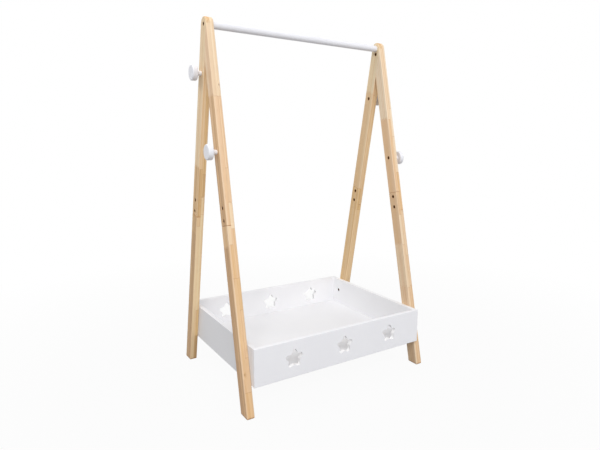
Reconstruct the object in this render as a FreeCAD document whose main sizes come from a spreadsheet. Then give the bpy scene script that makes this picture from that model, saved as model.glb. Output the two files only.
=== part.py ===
"""A child's clothes rack: two A-frames of half-lapped legs, a hanging rail, a tray and four knobs.

X runs along the rail, Y from front to back and Z up. The origin is on the floor, in the middle of the rack.
"""
import FreeCAD, Part
import Sketcher
import os
import re

# Driving dimensions in millimetres; a share is a part of the rail's height.
DIMENSIONS = {
    # the A-frames
    "frame_gap": 538,
    "rail_height": 981,
    "leg_width": 38,
    "leg_thickness": 21,
    "leg_arris": 2.5,
    "joint_gap": 0.3,
    # the lap that joins an upper leg to a lower leg
    "lap_height_share": 0.507,
    "lap_length": 60,
    "lap_bolt_spacing": 33,
    # the hanging rail and its end bolts
    "rail_diameter": 20,
    "rail_bolt_diameter": 6,
    "rail_arris": 0.8,
    # the knobs, which sit a little higher on the left frame than on the right one
    "left_front_knob_height_share": 0.667,
    "left_rear_knob_height_share": 0.8755,
    "right_front_knob_height_share": 0.6475,
    "right_rear_knob_height_share": 0.842,
    "knob_diameter": 41,
    "knob_disc_thickness": 14,
    "knob_edge_rounding": 2.5,
    "knob_stem_diameter": 13,
    "knob_stem_length": 13,
    "knob_screw_reach": 17,
    # the tray
    "tray_depth": 472,
    "tray_height": 100,
    "tray_floor_gap": 78,
    "tray_panel": 12,
    "tray_rounding": 1.5,
    "tray_bottom": 6,
    "tray_bottom_lift": 6,
    "tray_groove_depth": 5,
    "tray_groove_clearance": 0.2,
    "tray_bolt_height": 138,
    "tray_bolt_inset": 49,
    "tray_bolt_diameter": 6,
    "tray_counterbore_depth": 6,
    "dowel_diameter": 6,
    "dowel_in_front": 7,
    "dowel_in_side": 17,
    "dowel_rise": 30,
    "dowel_spacing": 44,
    "dowel_clearance": 0.2,
    "dowel_chamfer": 0.8,
    # the stars cut through the front and back panels
    "star_spacing": 157,
    "star_point_radius": 32,
    "star_notch_radius": 17,
    "star_tip_rounding": 6,
    "star_notch_rounding": 3,
    # bolts, screws and nuts
    "head_diameter": 10,
    "head_thickness": 5.2,
    "head_rounding": 0.5,
    "socket_radius": 2.9,
    "socket_depth": 2.5,
    "counterbore_diameter": 11,
    "counterbore_depth": 6,
    "screw_diameter": 4,
    "hole_clearance": 0.3,
    "thread_clearance": 0.1,
    "end_gap": 1,
    "sleeve_diameter": 6.4,
    "insert_diameter": 9,
    "insert_length": 13,
    "apex_screw_drop": 17,
    "apex_screw_cover": 4,
    # how far a cut runs past the face it enters by
    "overrun": 2,
}

# Sizes that follow from the driving ones. The legs lean so that they meet the tray's sides at its bolts.
DERIVED = {
    "leg_angle": "atan((tray_depth / 2 - tray_bolt_inset) / (rail_height - tray_bolt_height))",
    "lap_height": "rail_height * lap_height_share",
    "left_front_knob_height": "rail_height * left_front_knob_height_share",
    "left_rear_knob_height": "rail_height * left_rear_knob_height_share",
    "right_front_knob_height": "rail_height * right_front_knob_height_share",
    "right_rear_knob_height": "rail_height * right_rear_knob_height_share",
}

FULL_TURN = 360
STAR_POINTS = 5
STAR_COUNT = 3
HEXAGON_CORNERS = 6
PARALLEL_SHARE = 0.999

# Left and right frames lie at -X and +X; front and rear legs lean out to -Y and +Y.
SIDES = {-1: "left", 1: "right"}
FRONT, REAR = -1, 1
ENDS = {FRONT: "front", REAR: "rear"}
KNOB_HEIGHTS = {(side, end): f"{SIDES[side]}_{ENDS[end]}_knob_height" for side in SIDES for end in ENDS}

# Sheet formulas that several pieces share, written with the names above.
HALF_GAP = "frame_gap / 2"
HALF_THICK = "leg_thickness / 2"
HALF_WIDTH = "leg_width / 2"
LAP_DROP = "(rail_height - lap_height) / cos(leg_angle)"
LAP_TOP = f"-({LAP_DROP}) + lap_length / 2"
LAP_END = f"-({LAP_DROP}) - lap_length / 2"
CLAMPED = "leg_thickness - 2 * counterbore_depth"
TRAY_BOLT_REACH = "(tray_depth / 2 - tray_bolt_inset)"
TRAY_SIDE_LENGTH = "tray_depth - 2 * tray_panel"
GROOVE_LOW = "tray_bottom_lift - tray_groove_clearance / 2"
GROOVE_HIGH = "tray_bottom_lift + tray_bottom + tray_groove_clearance / 2"
DOWEL_HEIGHTS = ("dowel_rise", "dowel_rise + dowel_spacing")

doc = FreeCAD.newDocument("clothes_rack")
sheet = doc.addObject("Spreadsheet::Sheet", "Sizes")
kept_parts = []


def fill_sheet():
    """Write every driving and derived size into the sheet, with its name as the cell's alias."""
    contents = {name: str(number) for name, number in DIMENSIONS.items()}
    contents.update({name: f"={text}" for name, text in DERIVED.items()})
    for row, (name, content) in enumerate(contents.items(), start=1):
        sheet.set(f"A{row}", name)
        sheet.set(f"B{row}", content)
        sheet.setAlias(f"B{row}", name)
    doc.recompute()


def formula(text):
    """Turn a formula in plain size names into one that reads the sheet."""
    names = {**DIMENSIONS, **DERIVED}
    return re.sub(r"[a-z_]+", lambda word: f"Sizes.{word[0]}" if word[0] in names else word[0], text)


def bind(item, prop, text):
    item.setExpression(prop, formula(text))


def place(item, x, y, z, rotation):
    """Bind an object's place to formulas; rotation is a formula of the sheet's rotation function."""
    bind(item, "Placement", f"placement(vector({x}; {y}; {z}); {rotation})")


def keep(item, label):
    """Name a finished piece, whose label becomes its file's name."""
    item.Label = label
    kept_parts.append(item)
    return item


def new_body(name):
    return doc.addObject("PartDesign::Body", name)


def new_sketch(body, role, offset="0"):
    """Add a sketch on one of the body's own planes, moved along that plane's normal."""
    sketch = body.newObject("Sketcher::SketchObject", "outline")
    plane = next(item for item in body.Origin.OriginFeatures if item.Role == role)
    sketch.AttachmentSupport = [(plane, "")]
    sketch.MapMode = "FlatFace"
    bind(sketch, "AttachmentOffset.Base.z", offset)
    return sketch


def pin_point(sketch, geometry, point, x, y):
    """Tie one point of a sketch to two formulas, measured from the sketch's origin."""
    for kind, text in (("DistanceX", x), ("DistanceY", y)):
        index = sketch.addConstraint(Sketcher.Constraint(kind, -1, 1, geometry, point, 1))
        bind(sketch, f"Constraints[{index}]", text)


def draw_polygon(sketch, corners):
    """Draw a closed outline of straight lines whose corners are pairs of formulas."""
    count = len(corners)
    turn = FreeCAD.Rotation(FreeCAD.Vector(0, 0, 1), FULL_TURN / count)
    spot = FreeCAD.Vector(1, 0, 0)
    for _ in corners:
        following = turn.multVec(spot)
        sketch.addGeometry(Part.LineSegment(spot, following))
        spot = following
    for index in range(count):
        sketch.addConstraint(Sketcher.Constraint("Coincident", index, 2, (index + 1) % count, 1))
    for index, (x, y) in enumerate(corners):
        pin_point(sketch, index, 1, x, y)


def draw_circles(sketch, centres, diameter):
    """Draw circles of one diameter at centres given as pairs of formulas."""
    for x, y in centres:
        geometry = sketch.addGeometry(Part.Circle(FreeCAD.Vector(), FreeCAD.Vector(0, 0, 1), 1))
        pin_point(sketch, geometry, 3, x, y)
        index = sketch.addConstraint(Sketcher.Constraint("Diameter", geometry, 1))
        bind(sketch, f"Constraints[{index}]", diameter)


def pad(body, sketch, length, centred=False, reverse=False):
    feature = body.newObject("PartDesign::Pad", "pad")
    feature.Profile = sketch
    feature.SideType = "Symmetric" if centred else "One side"
    feature.Reversed = reverse
    bind(feature, "Length", length)
    doc.recompute()


def pocket(body, sketch, depth, reverse=False):
    """Cut a sketch into its body, against the plane's normal or along it, and see that it cuts."""
    before = body.Tip.Shape.Volume
    feature = body.newObject("PartDesign::Pocket", "pocket")
    feature.Profile = sketch
    feature.Reversed = reverse
    bind(feature, "Length", depth)
    doc.recompute()
    if feature.Shape.Volume >= before:
        raise RuntimeError(f"a pocket in {body.Name} cuts nothing")
    return feature


def cut_polygon(body, role, reach, side, depth, corners):
    """Cut an outline into the face that lies reach away from a plane, on the plane's side +1 or -1."""
    sketch = new_sketch(body, role, f"{side} * ({reach} + overrun)")
    draw_polygon(sketch, corners)
    return pocket(body, sketch, f"{depth} + overrun", reverse=side < 0)


def drill(body, role, reach, side, depth, centres, diameter):
    """Drill round holes into the face that lies reach away from a plane, on the plane's side +1 or -1."""
    sketch = new_sketch(body, role, f"{side} * ({reach} + overrun)")
    draw_circles(sketch, centres, diameter)
    pocket(body, sketch, f"{depth} + overrun", reverse=side < 0)


def soften(body, radius, chosen):
    """Round the edges of the body's last feature that chosen() picks."""
    base = body.Tip
    names = [f"Edge{number}" for number, edge in enumerate(base.Shape.Edges, start=1) if chosen(edge)]
    feature = body.newObject("PartDesign::Fillet", "rounding")
    feature.Base = (base, names)
    bind(feature, "Radius", radius)
    doc.recompute()


def runs_along(edge, axis):
    """Say whether an edge is straight and parallel to an axis."""
    if not isinstance(edge.Curve, Part.Line):
        return False
    return abs(edge.Curve.Direction.dot(axis)) > PARALLEL_SHARE


def turned(name, profile):
    """Turn a closed profile of (radius, height) corners about the body's Z axis."""
    body = new_body(name)
    sketch = new_sketch(body, "XZ_Plane")
    draw_polygon(sketch, profile)
    feature = body.newObject("PartDesign::Revolution", "turning")
    feature.Profile = sketch
    feature.ReferenceAxis = (sketch, ["V_Axis"])
    feature.Angle = FULL_TURN
    doc.recompute()
    return body


def is_widest_rim(body):
    """Return a test for the circular edges that go round a turned body where it is widest."""
    width = body.Tip.Shape.BoundBox.XLength
    return lambda edge: isinstance(edge.Curve, Part.Circle) and edge.BoundBox.XLength > PARALLEL_SHARE * width


def group(label, master, places):
    """Make one piece of several like solids, each a link to the master with a place of its own."""
    links = []
    for x, y, z, rotation in places:
        link = doc.addObject("App::Link", f"{label}_link")
        link.LinkedObject = master
        place(link, x, y, z, rotation)
        links.append(link)
    compound = doc.addObject("Part::Compound", label)
    compound.Links = links
    keep(compound, label)


def along_x(side):
    """Rotation that turns a piece's Z axis to the right, for side +1, or to the left."""
    return f"rotation(vector(0; 1; 0); {side} * 90)"


def along_y(side):
    """Rotation that turns a piece's Z axis to the back, for side +1, or to the front."""
    return f"rotation(vector(1; 0; 0); {-side} * 90)"


def about_z(angle):
    return f"rotation({angle}; 0; 0)"


def on_leg(end, drop):
    """Y and Z of a point on a leg's centre line, drop below the rail's axis along the leg."""
    return f"{end} * ({drop}) * sin(leg_angle)", f"rail_height - ({drop}) * cos(leg_angle)"


def place_leg(body, side, end):
    """Stand a leg in the right or left frame, at its front or its rear.

    A leg is drawn with its Z axis up the leg, its origin on the rail's axis and its front edge towards -Y.
    """
    turn = 0 if end == FRONT else 180
    place(body, f"{side} * ({HALF_GAP} + {HALF_THICK})", "0", "rail_height", f"rotation({turn}; 0; -leg_angle)")


def is_corner(edge):
    """Pick every edge of a plain leg but the two where its rounded top runs smoothly into its sides."""
    at_top_tangent = abs(edge.CenterOfMass.z) < sheet.leg_arris
    return not (runs_along(edge, FreeCAD.Vector(1, 0, 0)) and at_top_tangent)


def lap_bolt_spots():
    return [("0", f"-({LAP_DROP}) + {sign} * lap_bolt_spacing / 2") for sign in (1, -1)]


def drill_leg(body, side, depth, centres, diameter):
    drill(body, "YZ_Plane", HALF_THICK, side, depth, centres, diameter)


def relieve_leg(body, side, corners):
    """Cut away half of a leg's thickness on one side, inside an outline."""
    cut_polygon(body, "YZ_Plane", HALF_THICK, side, HALF_THICK, corners)


def lap_outline(low, high):
    edge = f"{HALF_WIDTH} + overrun"
    return [(f"-({edge})", low), (edge, low), (edge, high), (f"-({edge})", high)]


def upper_leg_blank(body):
    """Pad the upper leg's outline: straight sides and a round top about the rail's axis."""
    sketch = new_sketch(body, "YZ_Plane")
    corner, top = FreeCAD.Vector(1, -1, 0), FreeCAD.Vector(1, 0, 0)
    flip = FreeCAD.Rotation(FreeCAD.Vector(0, 1, 0), FULL_TURN / 2)
    circle = Part.Circle(FreeCAD.Vector(), FreeCAD.Vector(0, 0, 1), 1)
    start, finish = circle.parameter(top), circle.parameter(flip.multVec(top))
    right = sketch.addGeometry(Part.LineSegment(corner, top))
    dome = sketch.addGeometry(Part.ArcOfCircle(circle, start, finish))
    left = sketch.addGeometry(Part.LineSegment(flip.multVec(top), flip.multVec(corner)))
    end = sketch.addGeometry(Part.LineSegment(flip.multVec(corner), corner))
    for first, first_point, second, second_point in (
        (right, 2, dome, 1), (dome, 2, left, 1), (left, 2, end, 1), (end, 2, right, 1), (dome, 3, -1, 1),
    ):
        sketch.addConstraint(Sketcher.Constraint("Coincident", first, first_point, second, second_point))
    sketch.addConstraint(Sketcher.Constraint("Vertical", right))
    sketch.addConstraint(Sketcher.Constraint("PointOnObject", dome, 1, -1))
    pin_point(sketch, right, 1, HALF_WIDTH, f"{LAP_END} + joint_gap")
    pin_point(sketch, end, 1, f"-{HALF_WIDTH}", f"{LAP_END} + joint_gap")
    sketch.addConstraint(Sketcher.Constraint("PointOnObject", dome, 2, -1))
    pad(body, sketch, "leg_thickness", centred=True)


def cut_apex_lap(body):
    """Halve the top of a leg, up to the slanting edge of the leg that crosses it."""
    slope_low = f"-{HALF_WIDTH} / tan(leg_angle)"
    slope_high = f"-{HALF_WIDTH} * tan(leg_angle)"
    past_top = f"{HALF_WIDTH} + overrun"
    rise = "overrun / tan(2 * leg_angle)"
    low_corner = (f"{HALF_WIDTH} + overrun", f"{slope_low} - {rise}")
    high_corner = (f"-{HALF_WIDTH} - overrun", f"{slope_high} + {rise}")
    relieve_leg(body, -1, [low_corner, (past_top, past_top), (f"-({past_top})", past_top), high_corner])


def drill_apex(body, outer):
    """Drill a leg's top for the rail's bolt and for the screw that locks the two legs of a frame."""
    lock = [("apex_screw_drop * sin(leg_angle)", "-apex_screw_drop * cos(leg_angle)")]
    drill_leg(body, 1, "leg_thickness", [("0", "0")], "rail_bolt_diameter + hole_clearance")
    if outer > 0:
        drill_leg(body, 1, "counterbore_depth", [("0", "0")], "counterbore_diameter")
        drill_leg(body, -1, "leg_thickness - apex_screw_cover", lock, "screw_diameter + thread_clearance")
    else:
        drill_leg(body, 1, "counterbore_depth", lock, "counterbore_diameter")
        drill_leg(body, 1, "leg_thickness", lock, "screw_diameter + hole_clearance")


def upper_leg(label, side, end, knob_height):
    """Make the upper half of a leg; its outer face is on its own +X side or its -X side."""
    outer = side if end == FRONT else -side
    knob_spot = [("0", f"-(rail_height - {knob_height}) / cos(leg_angle)")]
    body = new_body(label)
    upper_leg_blank(body)
    soften(body, "leg_arris", is_corner)
    cut_apex_lap(body)
    relieve_leg(body, -outer, lap_outline(f"{LAP_END} - overrun", LAP_TOP))
    drill_leg(body, outer, "leg_thickness", lap_bolt_spots(), "sleeve_diameter + hole_clearance")
    drill_leg(body, outer, "counterbore_depth", lap_bolt_spots(), "counterbore_diameter")
    drill_apex(body, outer)
    drill_leg(body, outer, "leg_thickness + overrun", knob_spot, "screw_diameter + hole_clearance")
    drill_leg(body, -outer, "counterbore_depth", knob_spot, "counterbore_diameter")
    place_leg(body, side, end)
    keep(body, label)


def lower_leg(label, side, end):
    """Make the lower half of a leg, with its foot cut level."""
    outer = side if end == FRONT else -side
    foot = "-rail_height / cos(leg_angle)"
    tray_spot = [("0", "-(rail_height - tray_bolt_height) / cos(leg_angle)")]
    body = new_body(label)
    sketch = new_sketch(body, "YZ_Plane")
    draw_polygon(sketch, [
        (f"-{HALF_WIDTH}", f"{foot} - {HALF_WIDTH} * tan(leg_angle)"),
        (HALF_WIDTH, f"{foot} + {HALF_WIDTH} * tan(leg_angle)"),
        (HALF_WIDTH, f"{LAP_TOP} - joint_gap"),
        (f"-{HALF_WIDTH}", f"{LAP_TOP} - joint_gap"),
    ])
    pad(body, sketch, "leg_thickness", centred=True)
    soften(body, "leg_arris", is_corner)
    relieve_leg(body, outer, lap_outline(LAP_END, f"{LAP_TOP} + overrun"))
    drill_leg(body, -outer, "leg_thickness", lap_bolt_spots(), "sleeve_diameter + hole_clearance")
    drill_leg(body, -outer, "counterbore_depth", lap_bolt_spots(), "counterbore_diameter")
    drill_leg(body, -outer, "insert_length", tray_spot, "insert_diameter")
    place_leg(body, side, end)
    keep(body, label)


def hanging_rail():
    """Turn the rail, with a bore in each end for its insert nut."""
    tip = HALF_GAP
    bore = "insert_diameter / 2"
    bottom = f"{tip} - insert_length"
    rim = "rail_diameter / 2"
    body = turned("hanging_rail", [
        ("0", f"-({bottom})"), (bore, f"-({bottom})"), (bore, f"-{tip}"), (f"{rim} - rail_arris", f"-{tip}"),
        (rim, f"-{tip} + rail_arris"), (rim, f"{tip} - rail_arris"), (f"{rim} - rail_arris", tip),
        (bore, tip), (bore, bottom), ("0", bottom),
    ])
    place(body, "0", "0", "rail_height", along_x(1))
    keep(body, "hanging_rail")


def knob(label, side, end, height):
    """Turn a disc knob on its stem, with a blind hole for the screw that holds it."""
    stem, disc, hole = "knob_stem_diameter / 2", "knob_diameter / 2", "(screw_diameter + thread_clearance) / 2"
    back, face = "knob_stem_length", "knob_stem_length + knob_disc_thickness"
    body = turned(label, [
        (hole, "0"), (stem, "0"), (stem, back), (disc, back), (disc, face), ("0", face),
        ("0", "knob_screw_reach"), (hole, "knob_screw_reach"),
    ])
    soften(body, "knob_edge_rounding", is_widest_rim(body))
    y, z = on_leg(end, f"(rail_height - {height}) / cos(leg_angle)")
    place(body, f"{side} * ({HALF_GAP} + leg_thickness)", y, z, along_x(side))
    keep(body, label)


def sink_socket(body):
    """Sink a hexagon socket into the top of a head that lies in the body's XY plane."""
    step = FULL_TURN / HEXAGON_CORNERS
    corners = [
        (f"socket_radius * cos({step * index})", f"socket_radius * sin({step * index})")
        for index in range(HEXAGON_CORNERS)
    ]
    cut_polygon(body, "XY_Plane", "0", 1, "socket_depth", corners)


def socket_bolt(name, diameter, length):
    """Turn a bolt, its head's top at the origin and its shank downwards."""
    head, shank, under = "head_diameter / 2", f"{diameter} / 2", "-head_thickness"
    tip = f"{under} - ({length})"
    body = turned(name, [
        ("0", "0"), (f"{head} - head_rounding", "0"), (head, "-head_rounding"), (head, under),
        (shank, under), (shank, tip), ("0", tip),
    ])
    sink_socket(body)
    return body


def sleeve_nut(name):
    """Turn the long nut that a lap bolt screws into, its head's top at the origin."""
    head, barrel, under = "head_diameter / 2", "sleeve_diameter / 2", "-head_thickness"
    bore = "(screw_diameter + thread_clearance) / 2"
    tip = f"{under} - ({CLAMPED} - end_gap)"
    body = turned(name, [
        ("0", "0"), (f"{head} - head_rounding", "0"), (head, "-head_rounding"), (head, under),
        (barrel, under), (barrel, tip), (bore, tip), (bore, under), ("0", under),
    ])
    sink_socket(body)
    return body


def insert_nut(name, bolt_diameter):
    """Turn a threaded bush, its mouth at the origin."""
    outside, bore = "(insert_diameter - thread_clearance) / 2", f"({bolt_diameter} + thread_clearance) / 2"
    return turned(name, [
        (bore, "0"), (outside, "0"), (outside, "-insert_length"), (bore, "-insert_length"),
    ])


def lap_fasteners():
    """Bolt each mid-height lap from outside, into sleeve nuts from inside."""
    outside = f"{HALF_GAP} + leg_thickness - counterbore_depth + head_thickness"
    inside = f"{HALF_GAP} + counterbore_depth - head_thickness"
    bolt_places, nut_places = [], []
    for side in SIDES:
        for end in ENDS:
            for sign in (1, -1):
                y, z = on_leg(end, f"{LAP_DROP} + {sign} * lap_bolt_spacing / 2")
                bolt_places.append((f"{side} * ({outside})", y, z, along_x(side)))
                nut_places.append((f"{side} * ({inside})", y, z, along_x(-side)))
    group("lap_bolts", socket_bolt("lap_bolt", "screw_diameter", f"{CLAMPED} - end_gap"), bolt_places)
    group("lap_sleeve_nuts", sleeve_nut("lap_sleeve_nut"), nut_places)


def apex_fasteners():
    """Bolt the rail's ends through both legs of each frame, and lock the legs with a screw from inside."""
    outside = f"{HALF_GAP} + leg_thickness - counterbore_depth + head_thickness"
    inside = f"{HALF_GAP} + counterbore_depth - head_thickness"
    bolt_length = "leg_thickness - counterbore_depth + insert_length - end_gap"
    screw_length = "leg_thickness - counterbore_depth - apex_screw_cover - end_gap"
    group("rail_bolts", socket_bolt("rail_bolt", "rail_bolt_diameter", bolt_length), [
        (f"{side} * ({outside})", "0", "rail_height", along_x(side)) for side in SIDES
    ])
    group("rail_insert_nuts", insert_nut("rail_insert_nut", "rail_bolt_diameter"), [
        (f"{side} * {HALF_GAP}", "0", "rail_height", along_x(side)) for side in SIDES
    ])
    group("apex_screws", socket_bolt("apex_screw", "screw_diameter", screw_length), [
        (f"{side} * ({inside})", "0", "rail_height - apex_screw_drop", along_x(-side)) for side in SIDES
    ])


def knob_screws():
    """Screw each knob on from the inside of its leg."""
    inside = f"{HALF_GAP} + counterbore_depth - head_thickness"
    length = "leg_thickness - counterbore_depth + knob_screw_reach - end_gap"
    places = []
    for (side, end), height in KNOB_HEIGHTS.items():
        y, z = on_leg(end, f"(rail_height - {height}) / cos(leg_angle)")
        places.append((f"{side} * ({inside})", y, z, along_x(-side)))
    group("knob_screws", socket_bolt("knob_screw", "screw_diameter", length), places)


def tray_fasteners():
    """Bolt the tray's sides to the four lower legs, and dowel its corners."""
    head_top = f"{HALF_GAP} - tray_panel + tray_counterbore_depth - head_thickness"
    length = "tray_panel - tray_counterbore_depth + insert_length - end_gap"
    bolt_places, nut_places, dowel_places = [], [], []
    for side in SIDES:
        for end in ENDS:
            y = f"{end} * {TRAY_BOLT_REACH}"
            bolt_places.append((f"{side} * ({head_top})", y, "tray_bolt_height", along_x(-side)))
            nut_places.append((f"{side} * {HALF_GAP}", y, "tray_bolt_height", along_x(-side)))
            for height in DOWEL_HEIGHTS:
                x = f"{side} * ({HALF_GAP} - tray_panel / 2)"
                y = f"{end} * (tray_depth / 2 - tray_panel)"
                dowel_places.append((x, y, f"tray_floor_gap + {height}", along_y(-end)))
    group("tray_bolts", socket_bolt("tray_bolt", "tray_bolt_diameter", length), bolt_places)
    group("tray_insert_nuts", insert_nut("tray_insert_nut", "tray_bolt_diameter"), nut_places)
    group("tray_dowels", dowel(), dowel_places)


def dowel():
    """Turn a corner dowel; its origin is where the front panel meets the side."""
    low, high = "-dowel_in_front + dowel_clearance", "dowel_in_side - dowel_clearance"
    rim = "dowel_diameter / 2"
    return turned("tray_dowel", [
        ("0", low), (f"{rim} - dowel_chamfer", low), (rim, f"{low} + dowel_chamfer"),
        (rim, f"{high} - dowel_chamfer"), (f"{rim} - dowel_chamfer", high), ("0", high),
    ])


def panel_blank(name, length):
    """Pad a tray panel: its outer face in the body's XZ plane, its lower edge on the X axis."""
    body = new_body(name)
    sketch = new_sketch(body, "XZ_Plane")
    left, right = f"-({length}) / 2", f"({length}) / 2"
    draw_polygon(sketch, [(left, "0"), (right, "0"), (right, "tray_height"), (left, "tray_height")])
    pad(body, sketch, "tray_panel", reverse=True)
    return body


def cut_groove(body, length):
    """Cut the groove that holds the tray's bottom into a panel's inner face."""
    left, right = f"-({length}) / 2", f"({length}) / 2"
    corners = [(left, GROOVE_LOW), (right, GROOVE_LOW), (right, GROOVE_HIGH), (left, GROOVE_HIGH)]
    cut_polygon(body, "XZ_Plane", "tray_panel", -1, "tray_groove_depth", corners)


def cut_stars(body):
    """Cut a row of five-pointed stars with round tips and notches through a panel."""
    step = FULL_TURN / STAR_POINTS
    corners = []
    for index in range(STAR_POINTS):
        for radius, angle in (("star_point_radius", index * step), ("star_notch_radius", index * step + step / 2)):
            x = f"-star_spacing + {radius} * sin({angle})"
            corners.append((x, f"tray_height / 2 + {radius} * cos({angle})"))
    star = cut_polygon(body, "XZ_Plane", "0", 1, "tray_panel + overrun", corners)
    row = body.newObject("PartDesign::LinearPattern", "star_row")
    row.Originals = [star]
    row.Direction = (star.Profile[0], ["H_Axis"])
    bind(row, "Length", "2 * star_spacing")
    row.Occurrences = STAR_COUNT
    body.Tip = row
    doc.recompute()
    soften(body, "star_tip_rounding", is_star_edge(sheet.star_point_radius))
    soften(body, "star_notch_rounding", is_star_edge(sheet.star_notch_radius))


def is_star_edge(radius):
    """Return a test for a star's corners that lie at one radius from their star's middle."""
    middles = [FreeCAD.Vector(sign * sheet.star_spacing, 0, sheet.tray_height / 2) for sign in (-1, 0, 1)]
    gap = (sheet.star_point_radius - sheet.star_notch_radius) / STAR_POINTS

    def chosen(edge):
        spot = FreeCAD.Vector(edge.CenterOfMass.x, 0, edge.CenterOfMass.z)
        near = min(abs(spot.distanceToPoint(middle) - radius) for middle in middles)
        return runs_along(edge, FreeCAD.Vector(0, 1, 0)) and near < gap

    return chosen


def star_panel(label, end):
    """Make the tray's front or back panel, which runs the tray's whole length."""
    body = panel_blank(label, "frame_gap")
    soften(body, "tray_rounding", is_shown_panel_edge)
    cut_groove(body, "frame_gap - 2 * (tray_panel - tray_groove_depth)")
    spots = [(f"{side} * ({HALF_GAP} - tray_panel / 2)", height) for side in SIDES for height in DOWEL_HEIGHTS]
    drill(body, "XZ_Plane", "tray_panel", -1, "dowel_in_front", spots, "dowel_diameter + dowel_clearance")
    cut_stars(body)
    turn = 0 if end == FRONT else 180
    place(body, "0", f"{end} * tray_depth / 2", "tray_floor_gap", about_z(turn))
    keep(body, label)


def is_shown_panel_edge(edge):
    """Pick the edges round a panel's outer face, and the inner one along its top."""
    box = edge.BoundBox
    on_outer_face = box.YMax < sheet.tray_panel / 2
    along_top = box.ZMin > sheet.tray_height / 2 and runs_along(edge, FreeCAD.Vector(1, 0, 0))
    return on_outer_face or along_top


def is_side_panel_edge(edge):
    """Pick a side panel's long edges, but not the inner one below."""
    return is_shown_panel_edge(edge) and runs_along(edge, FreeCAD.Vector(1, 0, 0))


def side_panel(label, side):
    """Make a plain side of the tray, which stands between the front and back panels."""
    body = panel_blank(label, TRAY_SIDE_LENGTH)
    soften(body, "tray_rounding", is_side_panel_edge)
    cut_groove(body, f"{TRAY_SIDE_LENGTH} + 2 * overrun")
    ends = [("tray_panel / 2", height) for height in DOWEL_HEIGHTS]
    for sign in (1, -1):
        drill(body, "YZ_Plane", f"({TRAY_SIDE_LENGTH}) / 2", sign, "dowel_in_side", ends,
              "dowel_diameter + dowel_clearance")
    bolts = [(f"{end} * {TRAY_BOLT_REACH}", "tray_bolt_height - tray_floor_gap") for end in ENDS]
    drill(body, "XZ_Plane", "tray_panel", -1, "tray_panel + overrun", bolts, "tray_bolt_diameter + hole_clearance")
    drill(body, "XZ_Plane", "tray_panel", -1, "tray_counterbore_depth", bolts, "counterbore_diameter")
    place(body, f"{side} * {HALF_GAP}", "0", "tray_floor_gap", about_z(side * 90))
    keep(body, label)


def tray_bottom():
    """Make the tray's bottom, which sits in the grooves of all four panels."""
    panel = doc.addObject("Part::Box", "tray_bottom")
    length = "frame_gap - 2 * (tray_panel - tray_groove_depth) - tray_groove_clearance"
    width = "tray_depth - 2 * (tray_panel - tray_groove_depth) - tray_groove_clearance"
    bind(panel, "Length", length)
    bind(panel, "Width", width)
    bind(panel, "Height", "tray_bottom")
    place(panel, f"-({length}) / 2", f"-({width}) / 2", "tray_floor_gap + tray_bottom_lift", about_z(0))
    keep(panel, "tray_bottom")


def write_parts():
    """See that every object and every piece is sound, then write each piece to its own file."""
    doc.recompute()
    failed = [item.Label for item in doc.Objects if {"Invalid", "Error"} & set(item.State)]
    broken = [item.Label for item in kept_parts if item.Shape.isNull() or not item.Shape.isValid()]
    if failed or broken:
        raise RuntimeError(f"failed objects {failed}, broken shapes {broken}")
    os.makedirs("parts", exist_ok=True)
    for item in kept_parts:
        item.Shape.exportStep(f"parts/{item.Label}.step")
        print(item.Label, len(item.Shape.Solids), "solids")


def main():
    fill_sheet()
    for side, side_name in SIDES.items():
        for end, end_name in ENDS.items():
            upper_leg(f"{side_name}_{end_name}_upper_leg", side, end, KNOB_HEIGHTS[side, end])
            lower_leg(f"{side_name}_{end_name}_lower_leg", side, end)
            knob(f"{side_name}_{end_name}_knob", side, end, KNOB_HEIGHTS[side, end])
        side_panel(f"tray_{side_name}_side", side)
    star_panel("tray_front_panel", FRONT)
    star_panel("tray_back_panel", REAR)
    tray_bottom()
    hanging_rail()
    lap_fasteners()
    apex_fasteners()
    knob_screws()
    tray_fasteners()
    write_parts()


main()
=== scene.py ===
"""Finishes of a child's clothes rack: pine legs, white tray, rail and knobs, and dark bolts."""
import math
from typing import NamedTuple

import bpy
from bpy.props import FloatProperty, FloatVectorProperty, PointerProperty
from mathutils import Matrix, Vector


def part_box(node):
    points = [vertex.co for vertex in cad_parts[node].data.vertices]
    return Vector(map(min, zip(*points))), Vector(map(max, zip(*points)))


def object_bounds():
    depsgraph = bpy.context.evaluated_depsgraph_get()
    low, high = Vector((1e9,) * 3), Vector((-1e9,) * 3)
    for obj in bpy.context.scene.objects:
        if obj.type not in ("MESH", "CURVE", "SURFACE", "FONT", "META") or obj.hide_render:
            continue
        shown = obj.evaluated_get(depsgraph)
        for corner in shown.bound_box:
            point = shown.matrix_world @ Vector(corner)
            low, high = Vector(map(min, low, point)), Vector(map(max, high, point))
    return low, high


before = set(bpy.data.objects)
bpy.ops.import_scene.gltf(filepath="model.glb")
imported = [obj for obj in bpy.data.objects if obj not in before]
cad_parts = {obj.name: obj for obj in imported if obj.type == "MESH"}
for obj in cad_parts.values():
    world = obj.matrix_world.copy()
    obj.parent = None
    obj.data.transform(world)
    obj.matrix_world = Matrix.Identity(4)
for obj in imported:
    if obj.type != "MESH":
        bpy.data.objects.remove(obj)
CAD_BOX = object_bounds()

bl_info = {
    "name": "Clothes Rack",
    "version": (1, 0, 0),
    "blender": (4, 5, 0),
    "location": "3D View > Sidebar > Clothes Rack",
    "description": "Finishes the pieces of a child's clothes rack and sets its white studio",
    "category": "Object",
}


class Board(NamedTuple):
    """A leg's timber, glued up from rows of finger-jointed blocks.

    The left and right rows show on the narrow faces and the flank row on the wide ones. The flank row's
    tones are partly the wood's own and partly painted shade: darker where less light falls on a wide
    face.
    A block is (how far down the leg its joint is, tone from 0 for pale to 1 for amber), and a knot is
    (across the thickness, down the leg, radius). The cast is a colour that the whole board leans to.
    """
    seed: float
    left: tuple
    right: tuple
    flank_tone_and_shade: tuple
    cast: tuple = (1, 1, 1)
    knots: tuple = ()


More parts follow.
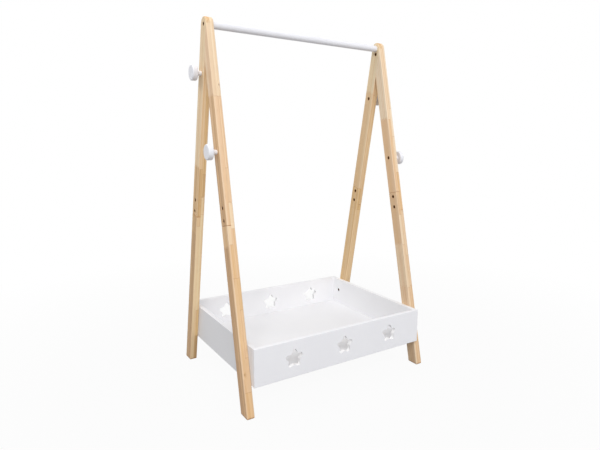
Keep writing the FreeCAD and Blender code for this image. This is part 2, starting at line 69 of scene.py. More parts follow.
class Noise(NamedTuple):
    """A noise pattern: its cycles per metre along the three axes, its detail and its roughness."""
    cycles: tuple
    detail: float = 2.0
    roughness: float = 0.5


class Span(NamedTuple):
    """The low and high end of a value, and what they become."""
    low: float
    high: float
    start: float = 0.0
    end: float = 1.0


class Relief(NamedTuple):
    """The bump of a surface: its strength and its height in metres."""
    strength: float
    height: float


class Lamp(NamedTuple):
    """A square lamp: where it hangs, the length of its side, and the setting that holds its power."""
    place: tuple
    size: float
    setting: str


SIDES = ("left", "right")
ENDS = ("front", "rear")
DARK_STEEL_PIECES = (
    "lap_bolts", "lap_sleeve_nuts", "rail_bolts", "apex_screws", "knob_screws", "tray_bolts",
)
ZINC_PIECES = ("rail_insert_nuts", "tray_insert_nuts")

# Each piece of the tray has its paint made a little lighter or darker as painted light and shade:
# brighter on the front panel and the right side, darker on the left side and the bottom.
TRAY_PAINTED_LIGHT = {
    "tray_front_panel": (1.03, 1.03, 1.03),
    "tray_back_panel": (1.00, 1.00, 0.985),
    "tray_left_side": (0.98, 0.98, 0.975),
    "tray_right_side": (1.06, 1.06, 1.04),
    "tray_bottom": (0.98, 0.98, 0.965),
}

# The flank rows are partly painted shade: darkest on the left frame's lower legs and palest high on the
# right frame's legs.
BOARDS = {
    "left_front_upper_leg": Board(
        seed=0.31,
        left=((0, 0.18), (0.185, 0.42)),
        right=((0, 0.12), (0.185, 0.35), (0.37, 0.32)),
        flank_tone_and_shade=((0, 0.34), (0.185, 0.74), (0.37, 0.80)),
        cast=(1.05, 1.03, 1.0),
        knots=((0.0072, 0.164, 0.0016),),
    ),
    "left_front_lower_leg": Board(
        seed=1.87,
        left=((0, 0.30), (0.565, 0.62), (0.65, 0.52), (0.935, 0.62)),
        right=((0, 0.12), (0.525, 0.45), (0.65, 0.60), (0.73, 0.42), (0.85, 0.52), (0.935, 0.66)),
        flank_tone_and_shade=((0, 0.88), (0.515, 0.62), (0.575, 0.90), (0.86, 0.97)),
        cast=(1.04, 1.02, 0.97),
        knots=((-0.0045, 0.898, 0.0014),),
    ),
    "left_rear_upper_leg": Board(
        seed=3.43,
        left=((0, 0.35), (0.375, 0.70)),
        right=((0, 0.68), (0.39, 0.74), (0.455, 0.38)),
        flank_tone_and_shade=((0, 0.22), (0.375, 0.76)),
        cast=(1.03, 1.04, 0.96),
    ),
    "left_rear_lower_leg": Board(
        seed=4.11,
        left=((0, 0.55), (0.545, 0.40)),
        right=((0, 0.46), (0.51, 0.32), (0.82, 0.60), (0.91, 0.87)),
        flank_tone_and_shade=((0, 0.97), (0.52, 0.86), (0.575, 0.96), (0.82, 1.0)),
        cast=(1.04, 1.05, 0.94),
    ),
    "right_front_upper_leg": Board(
        seed=5.29,
        left=((0, 0.18), (0.225, 0.52)),
        right=((0, 0.18), (0.19, 0.02), (0.28, 0.14), (0.395, 0.70)),
        flank_tone_and_shade=((0, 0.05), (0.225, 0.46)),
        cast=(1.03, 1.02, 1.0),
    ),
    "right_front_lower_leg": Board(
        seed=6.71,
        left=((0, 0.50), (0.53, 0.18), (0.625, 0.28), (0.76, 0.45)),
        right=((0, 0.15), (0.66, 0.32), (0.755, 0.48)),
        flank_tone_and_shade=((0, 0.50), (0.625, 0.24), (0.76, 0.38)),
        cast=(0.98, 0.975, 0.95),
    ),
    "right_rear_upper_leg": Board(
        seed=7.53,
        left=((0, 0.35), (0.135, 0.45)),
        right=((0, 0.55),),
        flank_tone_and_shade=((0, 0.15), (0.135, 0.40)),
        cast=(1.0, 1.01, 0.93),
    ),
    "right_rear_lower_leg": Board(
        seed=8.97,
        left=((0, 0.80), (0.535, 0.55)),
        right=((0, 0.70), (0.535, 0.55)),
        flank_tone_and_shade=((0, 0.62), (0.535, 0.55)),
        cast=(1.0, 1.01, 0.91),
    ),
}

# Patterns of the pine, across a leg's thickness, across its width and along it.
RING_WAVES = Noise((14, 14, 1.6))
STREAKS = Noise((140, 90, 1.5), 3.0, 0.6)
FIBRES = Noise((1500, 1500, 26), 3.0, 0.6)
RESIN_CANALS = Noise((900, 900, 40), 1.0)
KNOT_EDGES = Noise((500, 90, 300))
NOISE_MIDDLE = 0.5

# Blocks of the pine: its wide faces, where the flank row's tones hold painted shade as well as wood
# tone, how the rings differ by row and block, and the glue lines.
WIDE_FACES = Span(0.6, 0.9)
RIGHT_ROW_STEP = 0.6
BLOCK_TURN = 2.4
GLUE_LINES = Span(0.0004, 0.0014, 0.30, 0.0)
GLUE_SHADE = (1.3, 1.3, 1.3)

# Year rings, in metres from the tree's heart, and (place in a ring, share of its dark late wood).
HEART_BEHIND = 0.045
HEART_SWING_ACROSS = 0.032
HEART_SWING_BEHIND = 0.020
RING_WAVE_HEIGHT = 0.016
LATE_WOOD = ((0.0, 0.1), (0.35, 0.0), (0.78, 0.75), (0.93, 1.0), (1.0, 0.1))
LATE_WOOD_STRENGTH = 0.55
LATE_WOOD_SHADE = (0.82, 0.70, 0.56)

# Knots: core, rim and pushed rings are in radii of the knot, and the lengths are in metres.
KNOT_STRETCH = (1, 0, 0.6)
KNOT_CORE = 0.7
KNOT_RIM = 1.9
KNOT_STRENGTH = 0.75
KNOT_RAGGEDNESS = 0.0012
KNOT_PUSH_REACH = 5
KNOT_PUSH = 0.006

# Tones, streaks, fibres and resin canals of the pine.
TONES = {"pale": 0.0, "cream": 0.2, "rosy": 0.4, "honey": 0.7, "amber": 1.0}
STREAK_STRENGTH = 1.1
FIBRE_LIGHTS = Span(0.25, 0.75, 0.94, 1.05)
CANAL_CORES = Span(0.66, 0.74)
CANAL_STRENGTH = 0.25

# End grain, a painted shade line along the feet by height above the floor, and wear with a painted
# highlight by distance in from the long edges.
END_FACES = Span(0.55, 0.95, 0.0, 0.8)
END_GRAIN_SHADE = (0.86, 0.66, 0.44)
# A painted shade line along the bottom of the feet.
FOOT_SHADE_LINE = Span(0.0020, 0.0055, 0.75, 0.0)
WEAR_START = 0.0030
WEAR_FULL = 0.0018
# How much paler the long edges get: wear and a painted highlight.
WEAR_AND_HIGHLIGHT_STRENGTH = 0.3
WEAR_DULLNESS = 0.08

# Lacquer of the pine.
LACQUER_GLOSS = Span(0.2, 0.8, 0.40, 0.54)
LACQUER_SPECULAR = 0.35
RING_RELIEF = 0.5
PINE_RELIEF = Relief(0.25, 0.0002)

# Sprayed paint. The starts shift its pattern, in metres, so that no two pieces share it.
PAINT_CLOUDS = Noise((9, 9, 9), 3.0)
CLOUD_EDGES = Span(0.3, 0.7)
CLOUD_SHADE = (0.975, 0.975, 0.98)
TRAY_PEEL = Noise((520, 520, 520))
TRAY_START_STEP = 3.7
RAIL_PEEL = Noise((160, 700, 700))
RAIL_START = 21.0
DUST = Noise((330, 330, 330), 0.0)
DUST_SPECKS = Span(0.78, 0.83)
DUST_STRENGTH = 0.12
DUST_SHADE = (0.7, 0.68, 0.66)
DUST_RELIEF = 0.6
PAINT_GLOSS = Span(0.25, 0.75, 0.44, 0.54)
PAINT_SPECULAR = 0.25
PAINT_RELIEF = Relief(0.12, 0.00015)

# Stars of the tray's panels: the margin round them in metres, and what counts as a wall for the painted
# light on the walls.
STAR_MARGIN = 0.006
WALL_FACES = Span(0.3, 0.6, 1.0, 0.0)

# Paint of the turned knobs. The turning marks are in radians per metre from the axis.
KNOB_CLOUDS = Noise((60, 60, 60))
KNOB_CLOUD_SHADE = (0.97, 0.97, 0.975)
KNOB_PEEL = Noise((700, 700, 700))
KNOB_GLOSS = Span(0.25, 0.75, 0.38, 0.48)
KNOB_RELIEF = Relief(0.10, 0.00012)
TURNING_MARKS = 5200.0
TURNING_RELIEF = 0.12

# Steel and zinc.
MOTTLE = Noise((420, 420, 420), 3.0)
MOTTLE_EDGES = Span(0.3, 0.7)
MOTTLE_DARK_SHADE = (0.75, 0.72, 0.70)
MOTTLE_LIGHT_SHADE = (1.2, 1.2, 1.2)
SCRATCHES = Noise((180, 2600, 2600))
DARK_STEEL_GLOSS = Span(0.3, 0.7, 0.42, 0.60)
ZINC_GLOSS = Span(0.3, 0.7, 0.28, 0.42)
STEEL_RELIEF = Relief(0.2, 0.0001)

# Beech.
BEECH_GRAIN = Noise((1400, 60, 1400), 3.0)
BEECH_GRAIN_EDGES = Span(0.3, 0.7)
BEECH_DARK_SHADE = (0.86, 0.82, 0.78)
BEECH_LIGHT_SHADE = (1.08, 1.08, 1.08)
BEECH_FLECKS = Noise((900, 220, 900), 1.0)
FLECK_CORES = Span(0.62, 0.70)
FLECK_STRENGTH = 0.4
FLECK_SHADE = (0.5, 0.4, 0.32)
BEECH_GLOSS = Span(0.2, 0.8, 0.55, 0.7)
BEECH_RELIEF = Relief(0.2, 0.0001)

# The stage. The floor's whiteness goes by the distance from the rack's middle, in metres.
WHITE = (1, 1, 1, 1)
FLOOR_WHITENESS = Span(0.6, 1.6, 0.95, 1.0)
FLOOR_GRAIN = Noise((40, 40, 40))
FLOOR_LIGHTS = Span(0.3, 0.7, 0.985, 1.0)
FLOOR_ROUGHNESS = 0.9
SENSOR_MILLIMETRES = 36
LAMPS = {
    "key lamp": Lamp((-3.0, -6.5, 5.8), 4.0, "key_power"),
    "left lamp": Lamp((-1.6, 0.2, 2.2), 1.0, "left_power"),
    "right lamp": Lamp((2.2, -3.0, 2.4), 2.0, "right_power"),
    "top lamp": Lamp((0.0, 1.6, 3.8), 2.5, "top_power"),
}


def colour_property(name, description, default):
    return FloatVectorProperty(name=name, description=description, default=default, size=3, min=0,
                               max=1, subtype="COLOR")


def length_property(name, description, default):
    return FloatProperty(name=name, description=description, default=default, min=0, unit="LENGTH")


def power_property(name, description, default):
    return FloatProperty(name=name, description=description, default=default, min=0, unit="POWER")


class PineFinish(bpy.types.PropertyGroup):
    """Colours and pattern of the lacquered pine."""
    pale: colour_property("Pale wood", "Colour of the palest blocks", (0.885, 0.745, 0.575))
    cream: colour_property("Cream wood", "Colour of the pale yellowish blocks", (0.845, 0.655, 0.455))
    rosy: colour_property("Rosy wood", "Colour of the pinker blocks", (0.800, 0.572, 0.378))
    honey: colour_property("Honey wood", "Colour of the yellower blocks", (0.770, 0.520, 0.283))
    amber: colour_property("Amber wood", "Colour of the darkest blocks", (0.520, 0.315, 0.165))
    knot: colour_property("Knot", "Colour of the knots", (0.36, 0.17, 0.07))
    ring_width: length_property("Ring width", "Width of one year's growth", 0.0052)
    finger_pitch: length_property("Finger pitch", "Spacing of the fingers of a joint", 0.0038)
    finger_length: length_property("Finger length", "How far the fingers of a joint reach", 0.009)


class PaintFinish(bpy.types.PropertyGroup):
    """Colours of the white paint."""
    # The tray's paint is lightened or darkened per piece as painted light and shade.
    tray: colour_property("Tray", "Paint of the tray, before each piece's own shade", (0.86, 0.86, 0.89))
    # The star walls' white is brighter than the tray's, as painted light on the walls.
    cut: colour_property("Star walls", "Paint on the walls of the stars", (0.95, 0.95, 0.96))
    rail: colour_property("Rail", "Paint of the hanging rail", (0.865, 0.865, 0.905))
    knob: colour_property("Knobs", "Paint of the knobs", (0.885, 0.89, 0.935))


class MetalFinish(bpy.types.PropertyGroup):
    """Colours of the fasteners."""
    dark: colour_property("Dark steel", "Oxidised steel of bolts and screws", (0.110, 0.036, 0.006))
    zinc: colour_property("Zinc", "Plating of the insert nuts", (0.62, 0.60, 0.53))
    beech: colour_property("Beech", "Wood of the tray's dowels", (0.66, 0.46, 0.29))


class StageSettings(bpy.types.PropertyGroup):
    """Camera, lamps and floor."""
    camera_place: FloatVectorProperty(
        name="Camera place", description="Where the camera stands", size=3,
        default=(-0.7713, -1.3680, 0.6941), subtype="TRANSLATION", unit="LENGTH")
    camera_turn: FloatVectorProperty(
        name="Camera turn", description="How the camera is turned", size=3,
        default=tuple(math.radians(angle) for angle in (82.2542, -0.9141, -36.8436)),
        subtype="EULER", unit="ROTATION")
    focal_length: FloatProperty(
        name="Focal length", description="Lens of the camera", default=31.03, min=1, unit="CAMERA")
    shift: FloatVectorProperty(
        name="Shift", description="Shift of the lens across and up", size=2,
        default=(-0.1174, -0.0262))
    key_power: power_property("Key lamp", "Power of the lamp far in front, on the left", 434)
    left_power: power_property("Left lamp", "Power of the lamp high on the left", 10)
    right_power: power_property("Right lamp", "Power of the lamp in front, on the right", 28)
    top_power: power_property("Top lamp", "Power of the lamp above and a little behind", 23)
    fill: FloatProperty(
        name="Fill", description="Strength of the light from all round", default=0.4, min=0)
    floor: colour_property("Floor", "Colour of the floor", (0.44, 0.44, 0.44))
    floor_size: length_property("Floor size", "Length of the floor's sides", 40)


class Recipe:
    """Builds the nodes of a material or a world.

    An input is a number, a colour, a vector or another node's output.
    """

    def __init__(self, holder, shader="Principled BSDF"):
        holder.use_nodes = True
        self.holder = holder
        self.tree = holder.node_tree
        self.shader = self.tree.nodes[shader]

    def feed(self, socket, value):
        if isinstance(value, bpy.types.NodeSocket):
            self.tree.links.new(value, socket)
        else:
            socket.default_value = value

    def add(self, kind, inputs, output=0, **settings):
        """Add a node and return one of its outputs, by place or by name."""
        item = self.tree.nodes.new(kind)
        for name, value in settings.items():
            setattr(item, name, value)
        for key, value in inputs.items():
            self.feed(item.inputs[key], value)
        return item.outputs[output]

    def finish(self, **sockets):
        """Feed the shader's sockets, which are named with underscores for spaces."""
        for name, value in sockets.items():
            self.feed(self.shader.inputs[name.replace("_", " ")], value)
        return self.holder

    def place(self, origin=(0, 0, 0), turn=(0, 0, 0)):
        """Object coordinates measured from an origin, along turned axes."""
        inputs = {"Vector": self.add("ShaderNodeTexCoord", {}, "Object"),
                  "Location": origin, "Rotation": turn}
        return self.add("ShaderNodeMapping", inputs, vector_type="TEXTURE")

    def normal(self):
        return self.add("ShaderNodeTexCoord", {}, "Normal")

    def math(self, operation, first, second=0.0, third=0.0):
        return self.add("ShaderNodeMath", {0: first, 1: second, 2: third}, operation=operation)

    def vector(self, operation, first, second=(0, 0, 0), output="Vector"):
        return self.add("ShaderNodeVectorMath", {0: first, 1: second}, output, operation=operation)

    def length(self, vector):
        return self.vector("LENGTH", vector, output="Value")

    def split(self, vector):
        item = self.tree.nodes.new("ShaderNodeSeparateXYZ")
        self.feed(item.inputs[0], vector)
        return item.outputs

    def between(self, share, first, second):
        """The first value at a share of 0 and the second at a share of 1."""
        return self.math("MULTIPLY_ADD", share, self.math("SUBTRACT", second, first), first)

    def span(self, value, span):
        """Carry a value from one span to another, held at the new span's ends."""
        inputs = {"Value": value, "From Min": span.low, "From Max": span.high,
                  "To Min": span.start, "To Max": span.end}
        return self.add("ShaderNodeMapRange", inputs, "Result")

    def noise(self, spot, noise):
        inputs = {"Vector": self.vector("MULTIPLY", spot, noise.cycles), "Scale": 1.0,
                  "Detail": noise.detail, "Roughness": noise.roughness}
        return self.add("ShaderNodeTexNoise", inputs, "Fac")

    def ramp(self, factor, stops):
        item = self.tree.nodes.new("ShaderNodeValToRGB")
        self.feed(item.inputs[0], factor)
        elements = item.color_ramp.elements
        while len(elements) < len(stops):
            elements.new(1.0)
        for element, (position, colour) in zip(elements, stops):
            element.position = position
            element.color = (*colour, 1.0)
        return item.outputs[0]

    def grey(self, value):
        return self.add("ShaderNodeCombineColor", {0: value, 1: value, 2: value})

    def mix(self, factor, first, second, blend="MIX"):
        """Mix two colours, whose sockets are the node's inputs 6 and 7 and its output 2."""
        inputs = {0: factor, 6: first, 7: second}
        return self.add("ShaderNodeMix", inputs, 2, data_type="RGBA", blend_type=blend)

    def tint(self, first, second):
        """Multiply two colours."""
        return self.mix(1.0, first, second, "MULTIPLY")

    def bump(self, pattern, relief):
        inputs = {"Height": pattern, "Strength": relief.strength, "Distance": relief.height}
        return self.add("ShaderNodeBump", inputs)


def new_material(name):
    return Recipe(bpy.data.materials.new(name))


def rgba(colour, shade=(1, 1, 1)):
    return (*(part * share for part, share in zip(colour, shade)), 1.0)


def dress(piece, material):
    """Give a CAD node one finish in place of its own."""
    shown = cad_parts[piece]
    shown.data.materials.clear()
    shown.data.materials.append(material)


class Leg(NamedTuple):
    """A leg's own frame: its origin on the rail's axis, its lean about X and its half sizes."""
    origin: Vector
    lean: float
    half_thickness: float
    half_width: float


def measure_leg(piece):
    """Read a leg's frame from the boxes of its two halves and of the rail.

    The top of the leg is round about the rail's axis.
    """
    axis = sum(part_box("hanging_rail"), Vector()) / 2
    low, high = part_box(piece.replace("lower", "upper"))
    foot_low, foot_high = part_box(piece.replace("upper", "lower"))
    reach = foot_low.y if "front" in piece else foot_high.y
    half_width = high.z - axis.z
    lean = math.atan2(abs(reach), axis.z) - math.asin(half_width / math.hypot(reach, axis.z))
    origin = Vector(((low.x + high.x) / 2, 0, axis.z))
    return Leg(origin, math.copysign(lean, reach), (high.x - low.x) / 2, half_width)


def strip(recipe, depth, blocks):
    """Tone along one row of blocks, the distance to its nearest joint, and the joints passed."""
    tone, seam, passed = blocks[0][1], 1.0, 0.0
    for (_, above), (joint, below) in zip(blocks, blocks[1:]):
        past = recipe.math("GREATER_THAN", depth, joint)
        tone = recipe.math("MULTIPLY_ADD", past, below - above, tone)
        passed = recipe.math("ADD", passed, past)
        away = recipe.math("ABSOLUTE", recipe.math("SUBTRACT", depth, joint))
        seam = recipe.math("MINIMUM", seam, away)
    return tone, seam, passed


def glued_rows(recipe, finish, board, spot, normal):
    """Tone, distance to the nearest joint and number of the block, over a board's three rows."""
    x, y, z = recipe.split(spot)
    right = recipe.math("GREATER_THAN", x, 0.0)
    wide = recipe.span(recipe.math("ABSOLUTE", recipe.split(normal)[0]), WIDE_FACES)

    # Finger joints zigzag across the width, and each row has its own.
    zigzag = recipe.math("PINGPONG", y, finish.finger_pitch)
    reach = recipe.math("MULTIPLY_ADD", zigzag, finish.finger_length / finish.finger_pitch, z)
    depth = recipe.math("MULTIPLY", reach, -1.0)
    rows = (strip(recipe, depth, row) for row in (board.left, board.right, board.flank_tone_and_shade))
    # The wide faces take the flank row, which is wood tone with painted shade.
    tone, seam, passed = (
        recipe.between(wide, recipe.between(right, first, second), flank_tone_and_shade)
        for first, second, flank_tone_and_shade in zip(*rows)
    )
    return tone, seam, recipe.math("MULTIPLY_ADD", right, RIGHT_ROW_STEP, passed)


def ring_radius(recipe, board, spot, shifted, block):
    """Distance from the tree's heart, which lies elsewhere for each block, in waves along the leg."""
    x, y, _ = recipe.split(spot)
    swing = recipe.math("SINE", recipe.math("MULTIPLY_ADD", block, BLOCK_TURN, board.seed))
    behind = recipe.math("ADD", y, HEART_BEHIND)
    from_heart = recipe.add("ShaderNodeCombineXYZ", {
        0: recipe.math("MULTIPLY_ADD", swing, HEART_SWING_ACROSS, x),
        1: recipe.math("MULTIPLY_ADD", swing, HEART_SWING_BEHIND, behind),
    })
    wave = recipe.noise(shifted, RING_WAVES)
    return recipe.math("MULTIPLY_ADD", wave, RING_WAVE_HEIGHT, recipe.length(from_heart))


def grow_knots(recipe, board, spot, radius):
    """Darkness of the knots, which run through the width, and the rings that they push aside."""
    darkness = 0.0
    for across, down, size in board.knots:
        offset = recipe.vector("SUBTRACT", spot, (across, 0, -down))
        distance = recipe.length(recipe.vector("MULTIPLY", offset, KNOT_STRETCH))
        edge = recipe.noise(spot, KNOT_EDGES)
        ragged = recipe.math("MULTIPLY_ADD", edge, KNOT_RAGGEDNESS, distance)
        knot = recipe.span(ragged, Span(size * KNOT_CORE, size * KNOT_RIM, KNOT_STRENGTH, 0.0))
        darkness = recipe.math("MAXIMUM", darkness, knot)
        push = recipe.span(distance, Span(0.0, size * KNOT_PUSH_REACH, KNOT_PUSH, 0.0))
        radius = recipe.math("ADD", radius, push)
    return darkness, radius


def pine(name, finish, leg, board):
    """Lacquered pine whose Z runs up the leg.

    It has rows of blocks, the wide-face row partly painted shade, year rings, knots, streaks, fibres,
    resin canals, end grain, edge wear with a painted highlight, and a painted shade line along the feet.
    """
    recipe = new_material(name)
    spot = recipe.place(leg.origin, (leg.lean, 0, 0))
    shifted = recipe.vector("ADD", spot, (board.seed,) * 3)
    normal = recipe.normal()
    tone, seam, block = glued_rows(recipe, finish, board, spot, normal)
    radius = ring_radius(recipe, board, spot, shifted, block)
    knots, radius = grow_knots(recipe, board, spot, radius)
    ring = recipe.math("FRACT", recipe.math("DIVIDE", radius, finish.ring_width))
    late = recipe.ramp(ring, [(place, (share,) * 3) for place, share in LATE_WOOD])

    # Broad lengthwise streaks, fine fibres and resin canals.
    streak = recipe.math("SUBTRACT", recipe.noise(shifted, STREAKS), NOISE_MIDDLE)
    fibre = recipe.noise(spot, FIBRES)
    canal = recipe.span(recipe.noise(shifted, RESIN_CANALS), CANAL_CORES)

    tone = recipe.math("MULTIPLY_ADD", streak, STREAK_STRENGTH, tone)
    early = recipe.ramp(tone, [(place, getattr(finish, colour)) for colour, place in TONES.items()])
    early = recipe.tint(early, rgba(board.cast))
    deep = recipe.tint(early, rgba(LATE_WOOD_SHADE))
    wood = recipe.mix(recipe.math("MULTIPLY", late, LATE_WOOD_STRENGTH), early, deep)
    wood = recipe.tint(wood, recipe.grey(recipe.span(fibre, FIBRE_LIGHTS)))
    wood = recipe.mix(recipe.math("MULTIPLY", canal, CANAL_STRENGTH), wood, rgba(finish.knot))
    wood = recipe.mix(recipe.span(seam, GLUE_LINES), wood, rgba(finish.knot, GLUE_SHADE))
    wood = recipe.mix(knots, wood, rgba(finish.knot))

    # The ends take the lacquer differently.
    upwards = (0, -math.sin(leg.lean), math.cos(leg.lean))
    lengthways = recipe.math("ABSOLUTE", recipe.vector("DOT_PRODUCT", normal, upwards, "Value"))
    end_grain = recipe.tint(wood, rgba(END_GRAIN_SHADE))
    wood = recipe.mix(recipe.span(lengthways, END_FACES), wood, end_grain)

    # The feet get a painted shade line along their lower edge, where they stand on the floor.
    height = recipe.split(recipe.place())[2]
    wood = recipe.mix(recipe.span(height, FOOT_SHADE_LINE), wood, rgba(finish.knot))

    # The long edges are paler, partly from the wear of handling and partly as a painted highlight where
    # the rounded arris catches the light, and the wear leaves them duller.
    x, y, _ = recipe.split(spot)
    corner = recipe.math("ADD", recipe.math("ABSOLUTE", x), recipe.math("ABSOLUTE", y))
    rim = leg.half_thickness + leg.half_width
    edge_wear_and_highlight = recipe.span(corner, Span(rim - WEAR_START, rim - WEAR_FULL))
    wood = recipe.mix(recipe.math("MULTIPLY", edge_wear_and_highlight, WEAR_AND_HIGHLIGHT_STRENGTH), wood, rgba(finish.pale))
    lacquer = recipe.span(fibre, LACQUER_GLOSS)
    gloss = recipe.math("MULTIPLY_ADD", edge_wear_and_highlight, WEAR_DULLNESS, lacquer)
    relief = recipe.math("MULTIPLY_ADD", late, RING_RELIEF, fibre)
    return recipe.finish(Base_Color=wood, Roughness=gloss, Specular_IOR_Level=LACQUER_SPECULAR,
                         Normal=recipe.bump(relief, PINE_RELIEF))


def star_wall_light_mask(recipe, box):
    """One on the walls of a panel's stars, where a brighter white is painted as light, and zero on its
    faces and on its outer edges.
    """
    low, high = box
    reach = (high - low) / 2 - Vector((STAR_MARGIN, 0, STAR_MARGIN))
    x, _, z = recipe.split(recipe.place((low + high) / 2))
    wall = recipe.span(recipe.math("ABSOLUTE", recipe.split(recipe.normal())[1]), WALL_FACES)
    for way, limit in ((x, reach.x), (z, reach.z)):
        inner = recipe.math("LESS_THAN", recipe.math("ABSOLUTE", way), limit)
        wall = recipe.math("MULTIPLY", wall, inner)
    return wall


def paint(name, colour, peel, start, cut=None, box=None):
    """Sprayed white paint: faint clouds, orange peel and a few specks of dust under the film.

    A panel with stars, given by its box, has a brighter white on the stars' walls, which is painted
    light.
    """
    recipe = new_material(name)
    spot = recipe.vector("ADD", recipe.place(), (start, start, start))
    cloud = recipe.noise(spot, PAINT_CLOUDS)
    speck = recipe.span(recipe.noise(spot, DUST), DUST_SPECKS)
    tint = recipe.mix(recipe.span(cloud, CLOUD_EDGES), rgba(colour, CLOUD_SHADE), rgba(colour))
    if box:
        # The stars' walls take the brighter white: painted light.
        tint = recipe.mix(star_wall_light_mask(recipe, box), tint, rgba(cut))
    tint = recipe.mix(recipe.math("MULTIPLY", speck, DUST_STRENGTH), tint, rgba(colour, DUST_SHADE))
    height = recipe.math("MULTIPLY_ADD", speck, DUST_RELIEF, recipe.noise(spot, peel))
    return recipe.finish(Base_Color=tint, Roughness=recipe.span(cloud, PAINT_GLOSS),
                         Specular_IOR_Level=PAINT_SPECULAR, Normal=recipe.bump(height, PAINT_RELIEF))


def turned_paint(name, colour, centre):
    """Paint over turned wood: faint rings about the knob's axis show through it."""
    recipe = new_material(name)
    spot = recipe.place(centre)
    radius = recipe.length(recipe.vector("MULTIPLY", spot, (0, 1, 1)))
    rings = recipe.math("SINE", recipe.math("MULTIPLY", radius, TURNING_MARKS))
    cloud = recipe.noise(spot, KNOB_CLOUDS)
    tint = recipe.mix(recipe.span(cloud, CLOUD_EDGES), rgba(colour, KNOB_CLOUD_SHADE), rgba(colour))
    height = recipe.math("MULTIPLY_ADD", rings, TURNING_RELIEF, recipe.noise(spot, KNOB_PEEL))
    return recipe.finish(Base_Color=tint, Roughness=recipe.span(cloud, KNOB_GLOSS),
                         Specular_IOR_Level=PAINT_SPECULAR, Normal=recipe.bump(height, KNOB_RELIEF))


def steel(name, colour, gloss):
    """Steel whose skin is mottled and lightly scratched."""
    recipe = new_material(name)
    spot = recipe.place()
    mottle = recipe.span(recipe.noise(spot, MOTTLE), MOTTLE_EDGES)
    scratch = recipe.noise(spot, SCRATCHES)
    skin = recipe.mix(mottle, rgba(colour, MOTTLE_DARK_SHADE), rgba(colour, MOTTLE_LIGHT_SHADE))
    return recipe.finish(Base_Color=skin, Roughness=recipe.span(scratch, gloss), Metallic=1.0,
                         Normal=recipe.bump(scratch, STEEL_RELIEF))


def beech(name, colour):
    """Raw beech dowels, grained along Y, with short dark flecks."""
    recipe = new_material(name)
    spot = recipe.place()
    grain = recipe.noise(spot, BEECH_GRAIN)
    fleck = recipe.span(recipe.noise(spot, BEECH_FLECKS), FLECK_CORES)
    wood = recipe.mix(recipe.span(grain, BEECH_GRAIN_EDGES), rgba(colour, BEECH_DARK_SHADE),
                      rgba(colour, BEECH_LIGHT_SHADE))
    wood = recipe.mix(recipe.math("MULTIPLY", fleck, FLECK_STRENGTH), wood, rgba(colour, FLECK_SHADE))
    return recipe.finish(Base_Color=wood, Roughness=recipe.span(grain, BEECH_GLOSS),
                         Normal=recipe.bump(grain, BEECH_RELIEF))


def seen_directly(recipe):
    """One for what the camera sees straight, in a mirror or through glass, and zero for other light."""
    path = recipe.tree.nodes.new("ShaderNodeLightPath").outputs
    glossy = recipe.math("MAXIMUM", path["Is Camera Ray"], path["Is Glossy Ray"])
    return recipe.math("MAXIMUM", glossy, path["Is Transmission Ray"])


def lay_floor(stage):
    """A floor that bounces a little light, looks white, and still shows the rack's shadow near it."""
    bpy.ops.object.select_all(action="DESELECT")
    bpy.ops.mesh.primitive_plane_add(size=stage.floor_size, location=(0, 0, 0))
    floor = bpy.context.object
    floor.name = "floor"
    recipe = new_material("white floor")
    spot = recipe.place()
    whiteness = recipe.span(recipe.length(spot), FLOOR_WHITENESS)
    grain = recipe.span(recipe.noise(spot, FLOOR_GRAIN), FLOOR_LIGHTS)
    colour = recipe.tint(rgba(stage.floor), recipe.grey(grain))
    material = recipe.finish(Base_Color=colour, Roughness=FLOOR_ROUGHNESS, Specular_IOR_Level=0.0)
    white = recipe.add("ShaderNodeEmission", {"Color": WHITE, "Strength": 1.0})
    share = recipe.math("MULTIPLY", whiteness, seen_directly(recipe))
    shown = recipe.add("ShaderNodeMixShader", {0: share, 1: recipe.shader.outputs[0], 2: white})
    recipe.feed(recipe.tree.nodes["Material Output"].inputs["Surface"], shown)
    floor.data.materials.append(material)


def light_world(scene, stage):
    """An even pale surround that fills the shadows and is white where it is seen."""
    recipe = Recipe(bpy.data.worlds.new("pale surround"), "Background")
    strength = recipe.span(seen_directly(recipe), Span(0.0, 1.0, stage.fill, 1.0))
    scene.world = recipe.finish(Color=WHITE, Strength=strength)


def hang_lamp(name, lamp, power):
    """Hang a square lamp that faces the middle of the rack."""
    data = bpy.data.lights.new(name, "AREA")
    data.shape = "SQUARE"
    data.size = lamp.size
    data.energy = power
    hung = bpy.data.objects.new(name, data)
    hung.location = lamp.place
    towards = sum(CAD_BOX, Vector()) / 2 - Vector(lamp.place)
    hung.rotation_euler = towards.to_track_quat("-Z", "Y").to_euler()
    bpy.context.scene.collection.objects.link(hung)


def stand_camera(scene, stage):
    data = bpy.data.cameras.new("camera")
    data.sensor_fit = "HORIZONTAL"
    data.sensor_width = SENSOR_MILLIMETRES
    data.lens = stage.focal_length
    data.shift_x, data.shift_y = stage.shift
    camera = bpy.data.objects.new("camera", data)
    camera.location = stage.camera_place
    camera.rotation_euler = stage.camera_turn
    scene.collection.objects.link(camera)
    scene.camera = camera


class RACK_OT_finish_legs(bpy.types.Operator):
    """Finish the four upper and four lower legs in pine, each from a board of its own"""
    bl_idname = "rack.finish_legs"
    bl_label = "Finish Legs"

    def execute(self, context):
        for piece, board in BOARDS.items():
            dress(piece, pine(f"pine {piece}", context.scene.rack_pine, measure_leg(piece), board))
        return {"FINISHED"}


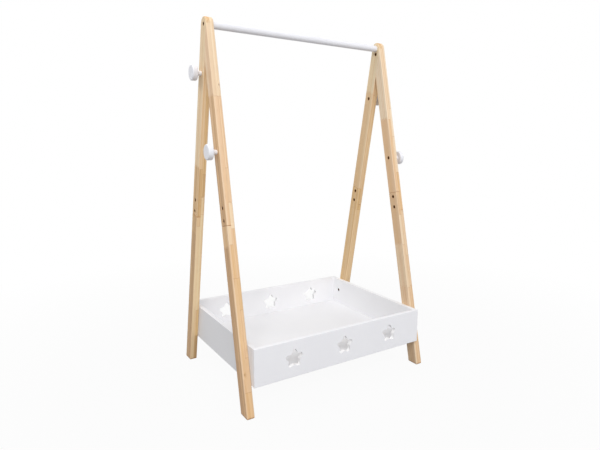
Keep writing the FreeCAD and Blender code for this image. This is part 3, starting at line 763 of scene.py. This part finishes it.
class RACK_OT_finish_tray(bpy.types.Operator):
    """Finish the tray's panels, sides and bottom in white paint"""
    bl_idname = "rack.finish_tray"
    bl_label = "Finish Tray"

    def execute(self, context):
        finish = context.scene.rack_paint
        for number, (piece, shade) in enumerate(TRAY_PAINTED_LIGHT.items()):
            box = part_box(piece) if "panel" in piece else None
            # Each piece's white is lightened or darkened by its painted light and shade.
            colour = rgba(finish.tray, shade)[:3]
            start = TRAY_START_STEP * number
            dress(piece, paint(f"paint {piece}", colour, TRAY_PEEL, start, finish.cut, box))
        return {"FINISHED"}


class RACK_OT_finish_rail(bpy.types.Operator):
    """Finish the hanging rail in white paint"""
    bl_idname = "rack.finish_rail"
    bl_label = "Finish Rail"

    def execute(self, context):
        finish = context.scene.rack_paint
        dress("hanging_rail", paint("paint hanging_rail", finish.rail, RAIL_PEEL, RAIL_START))
        return {"FINISHED"}


class RACK_OT_finish_knobs(bpy.types.Operator):
    """Finish the four turned knobs in white paint"""
    bl_idname = "rack.finish_knobs"
    bl_label = "Finish Knobs"

    def execute(self, context):
        for side in SIDES:
            for end in ENDS:
                piece = f"{side}_{end}_knob"
                low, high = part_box(piece)
                centre = (low + high) / 2
                dress(piece, turned_paint(f"paint {piece}", context.scene.rack_paint.knob, centre))
        return {"FINISHED"}


class RACK_OT_finish_fasteners(bpy.types.Operator):
    """Finish the bolts, screws, nuts and dowels"""
    bl_idname = "rack.finish_fasteners"
    bl_label = "Finish Fasteners"

    def execute(self, context):
        finish = context.scene.rack_metal
        dark = steel("dark steel", finish.dark, DARK_STEEL_GLOSS)
        zinc = steel("zinc plating", finish.zinc, ZINC_GLOSS)
        for piece in DARK_STEEL_PIECES:
            dress(piece, dark)
        for piece in ZINC_PIECES:
            dress(piece, zinc)
        dress("tray_dowels", beech("raw beech", finish.beech))
        return {"FINISHED"}


class RACK_OT_set_stage(bpy.types.Operator):
    """Lay the floor, hang the lamps and stand the camera where the photograph was taken"""
    bl_idname = "rack.set_stage"
    bl_label = "Set Stage"

    def execute(self, context):
        stage = context.scene.rack_stage
        context.scene.view_settings.view_transform = "Standard"
        lay_floor(stage)
        light_world(context.scene, stage)
        for name, lamp in LAMPS.items():
            hang_lamp(name, lamp, getattr(stage, lamp.setting))
        stand_camera(context.scene, stage)
        return {"FINISHED"}


class RACK_PT_sidebar(bpy.types.Panel):
    """Finishes and stage of the clothes rack"""
    bl_idname = "RACK_PT_sidebar"
    bl_label = "Clothes Rack"
    bl_space_type = "VIEW_3D"
    bl_region_type = "UI"
    bl_category = "Clothes Rack"

    def draw(self, context):
        for group in GROUPS:
            settings = getattr(context.scene, group)
            for name in settings.__annotations__:
                self.layout.prop(settings, name)
        for operator in OPERATORS:
            self.layout.operator(operator.bl_idname)


GROUPS = {
    "rack_pine": PineFinish,
    "rack_paint": PaintFinish,
    "rack_metal": MetalFinish,
    "rack_stage": StageSettings,
}
OPERATORS = (
    RACK_OT_finish_legs,
    RACK_OT_finish_tray,
    RACK_OT_finish_rail,
    RACK_OT_finish_knobs,
    RACK_OT_finish_fasteners,
    RACK_OT_set_stage,
)


def register():
    for item in (*GROUPS.values(), *OPERATORS, RACK_PT_sidebar):
        bpy.utils.register_class(item)
    for name, group in GROUPS.items():
        setattr(bpy.types.Scene, name, PointerProperty(type=group))


def unregister():
    for name in GROUPS:
        delattr(bpy.types.Scene, name)
    for item in (RACK_PT_sidebar, *reversed(OPERATORS), *reversed(GROUPS.values())):
        bpy.utils.unregister_class(item)


def main():
    register()
    bpy.ops.rack.finish_legs()
    bpy.ops.rack.finish_tray()
    bpy.ops.rack.finish_rail()
    bpy.ops.rack.finish_knobs()
    bpy.ops.rack.finish_fasteners()
    bpy.ops.rack.set_stage()


if __name__ == "__main__":
    main()
